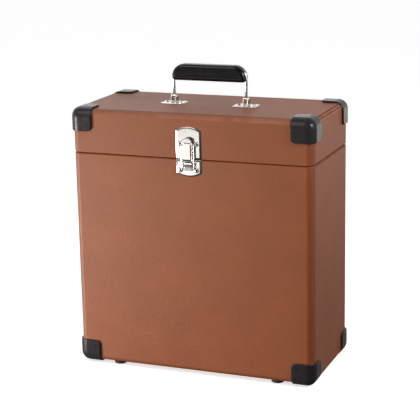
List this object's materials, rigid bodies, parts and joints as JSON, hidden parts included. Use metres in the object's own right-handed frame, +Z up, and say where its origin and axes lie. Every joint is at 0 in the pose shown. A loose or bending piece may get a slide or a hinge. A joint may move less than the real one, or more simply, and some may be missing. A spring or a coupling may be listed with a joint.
{
  "type": "vinyl record carrying case",
  "caption": "Tall box-shaped carrying case for long-play records with a hinged top lid, front draw latch, swinging top handle, corner caps and rubber feet.",
  "frame": {"origin": "on the ground under the middle of the case, midway between its sides and between its front and back faces", "axes": "+Z up, -Y out of the front with the latch, +X to the right seen from the front"},
  "size_m": [0.3746, 0.1897, 0.4505],
  "materials": {
    "leatherette": "fine-grained tan leatherette covering, low sheen",
    "board": "bare fibreboard",
    "lining": "black short-nap lining cloth",
    "corner_plastic": "glossy black moulded plastic",
    "grip_plastic": "glossy black moulded plastic",
    "rubber": "matt black rubber",
    "nickel": "bright nickel plate",
    "chrome_wire": "bright plated steel wire"
  },
  "bodies": {
    "base": {"base_back_board": "board", "base_bottom_board": "board", "base_corner_back_left": "corner_plastic", "base_corner_back_right": "corner_plastic", "base_corner_front_left": "corner_plastic", "base_corner_front_right": "corner_plastic", "base_cover": "leatherette", "base_front_board": "board", "base_left_board": "board", "base_lining": "lining", "base_right_board": "board", "catch_plate": "nickel", "catch_rivet_left": "nickel", "catch_rivet_right": "nickel", "collar_back": "lining", "collar_front": "lining", "collar_left": "lining", "collar_right": "lining", "foot_back_left": "rubber", "foot_back_right": "rubber", "foot_front_left": "rubber", "foot_front_right": "rubber", "foot_screw_back_left": "nickel", "foot_screw_back_right": "nickel", "foot_screw_front_left": "nickel", "foot_screw_front_right": "nickel", "hinge_base_leaf_left": "nickel", "hinge_base_leaf_right": "nickel", "hinge_pin_left": "nickel", "hinge_pin_right": "nickel"},
    "lid": {"bracket_rivet_left_inner": "nickel", "bracket_rivet_left_outer": "nickel", "bracket_rivet_right_inner": "nickel", "bracket_rivet_right_outer": "nickel", "handle_bracket_left": "nickel", "handle_bracket_right": "nickel", "handle_pin_left": "nickel", "handle_pin_right": "nickel", "hinge_lid_leaf_left": "nickel", "hinge_lid_leaf_right": "nickel", "latch_plate": "nickel", "latch_rivet_left": "nickel", "latch_rivet_right": "nickel", "lever_pin": "nickel", "lid_back_board": "board", "lid_corner_back_left": "corner_plastic", "lid_corner_back_right": "corner_plastic", "lid_corner_front_left": "corner_plastic", "lid_corner_front_right": "corner_plastic", "lid_cover": "leatherette", "lid_front_board": "board", "lid_left_board": "board", "lid_lining": "lining", "lid_right_board": "board", "lid_top_board": "board"},
    "handle": {"handle_bail": "chrome_wire", "handle_grip": "grip_plastic"},
    "latch_lever": {"latch_lever": "nickel"},
    "latch_loop": {"latch_loop": "nickel"}
  },
  "joints": [
    {"name": "lid_hinge", "type": "hinge", "parent": "base", "child": "lid", "pos_m": [0, 0.091, 0.3265], "axis": [-1, 0, 0], "range_deg": [0, 105]},
    {"name": "handle_swing", "type": "hinge", "parent": "lid", "child": "handle", "pos_m": [0, 0, 0.401], "axis": [1, 0, 0], "range_deg": [-88, 88]},
    {"name": "latch_lever_turn", "type": "hinge", "parent": "lid", "child": "latch_lever", "pos_m": [0, -0.0919, 0.328], "axis": [1, 0, 0], "range_deg": [0, 130]},
    {"name": "latch_loop_turn", "type": "hinge", "parent": "latch_lever", "child": "latch_loop", "pos_m": [0, -0.0915, 0.348], "axis": [1, 0, 0], "range_deg": [-130, 0]}
  ],
  "couplings": [
    {"joint": "latch_loop_turn", "follows": "latch_lever_turn", "ratio": -1}
  ]
}
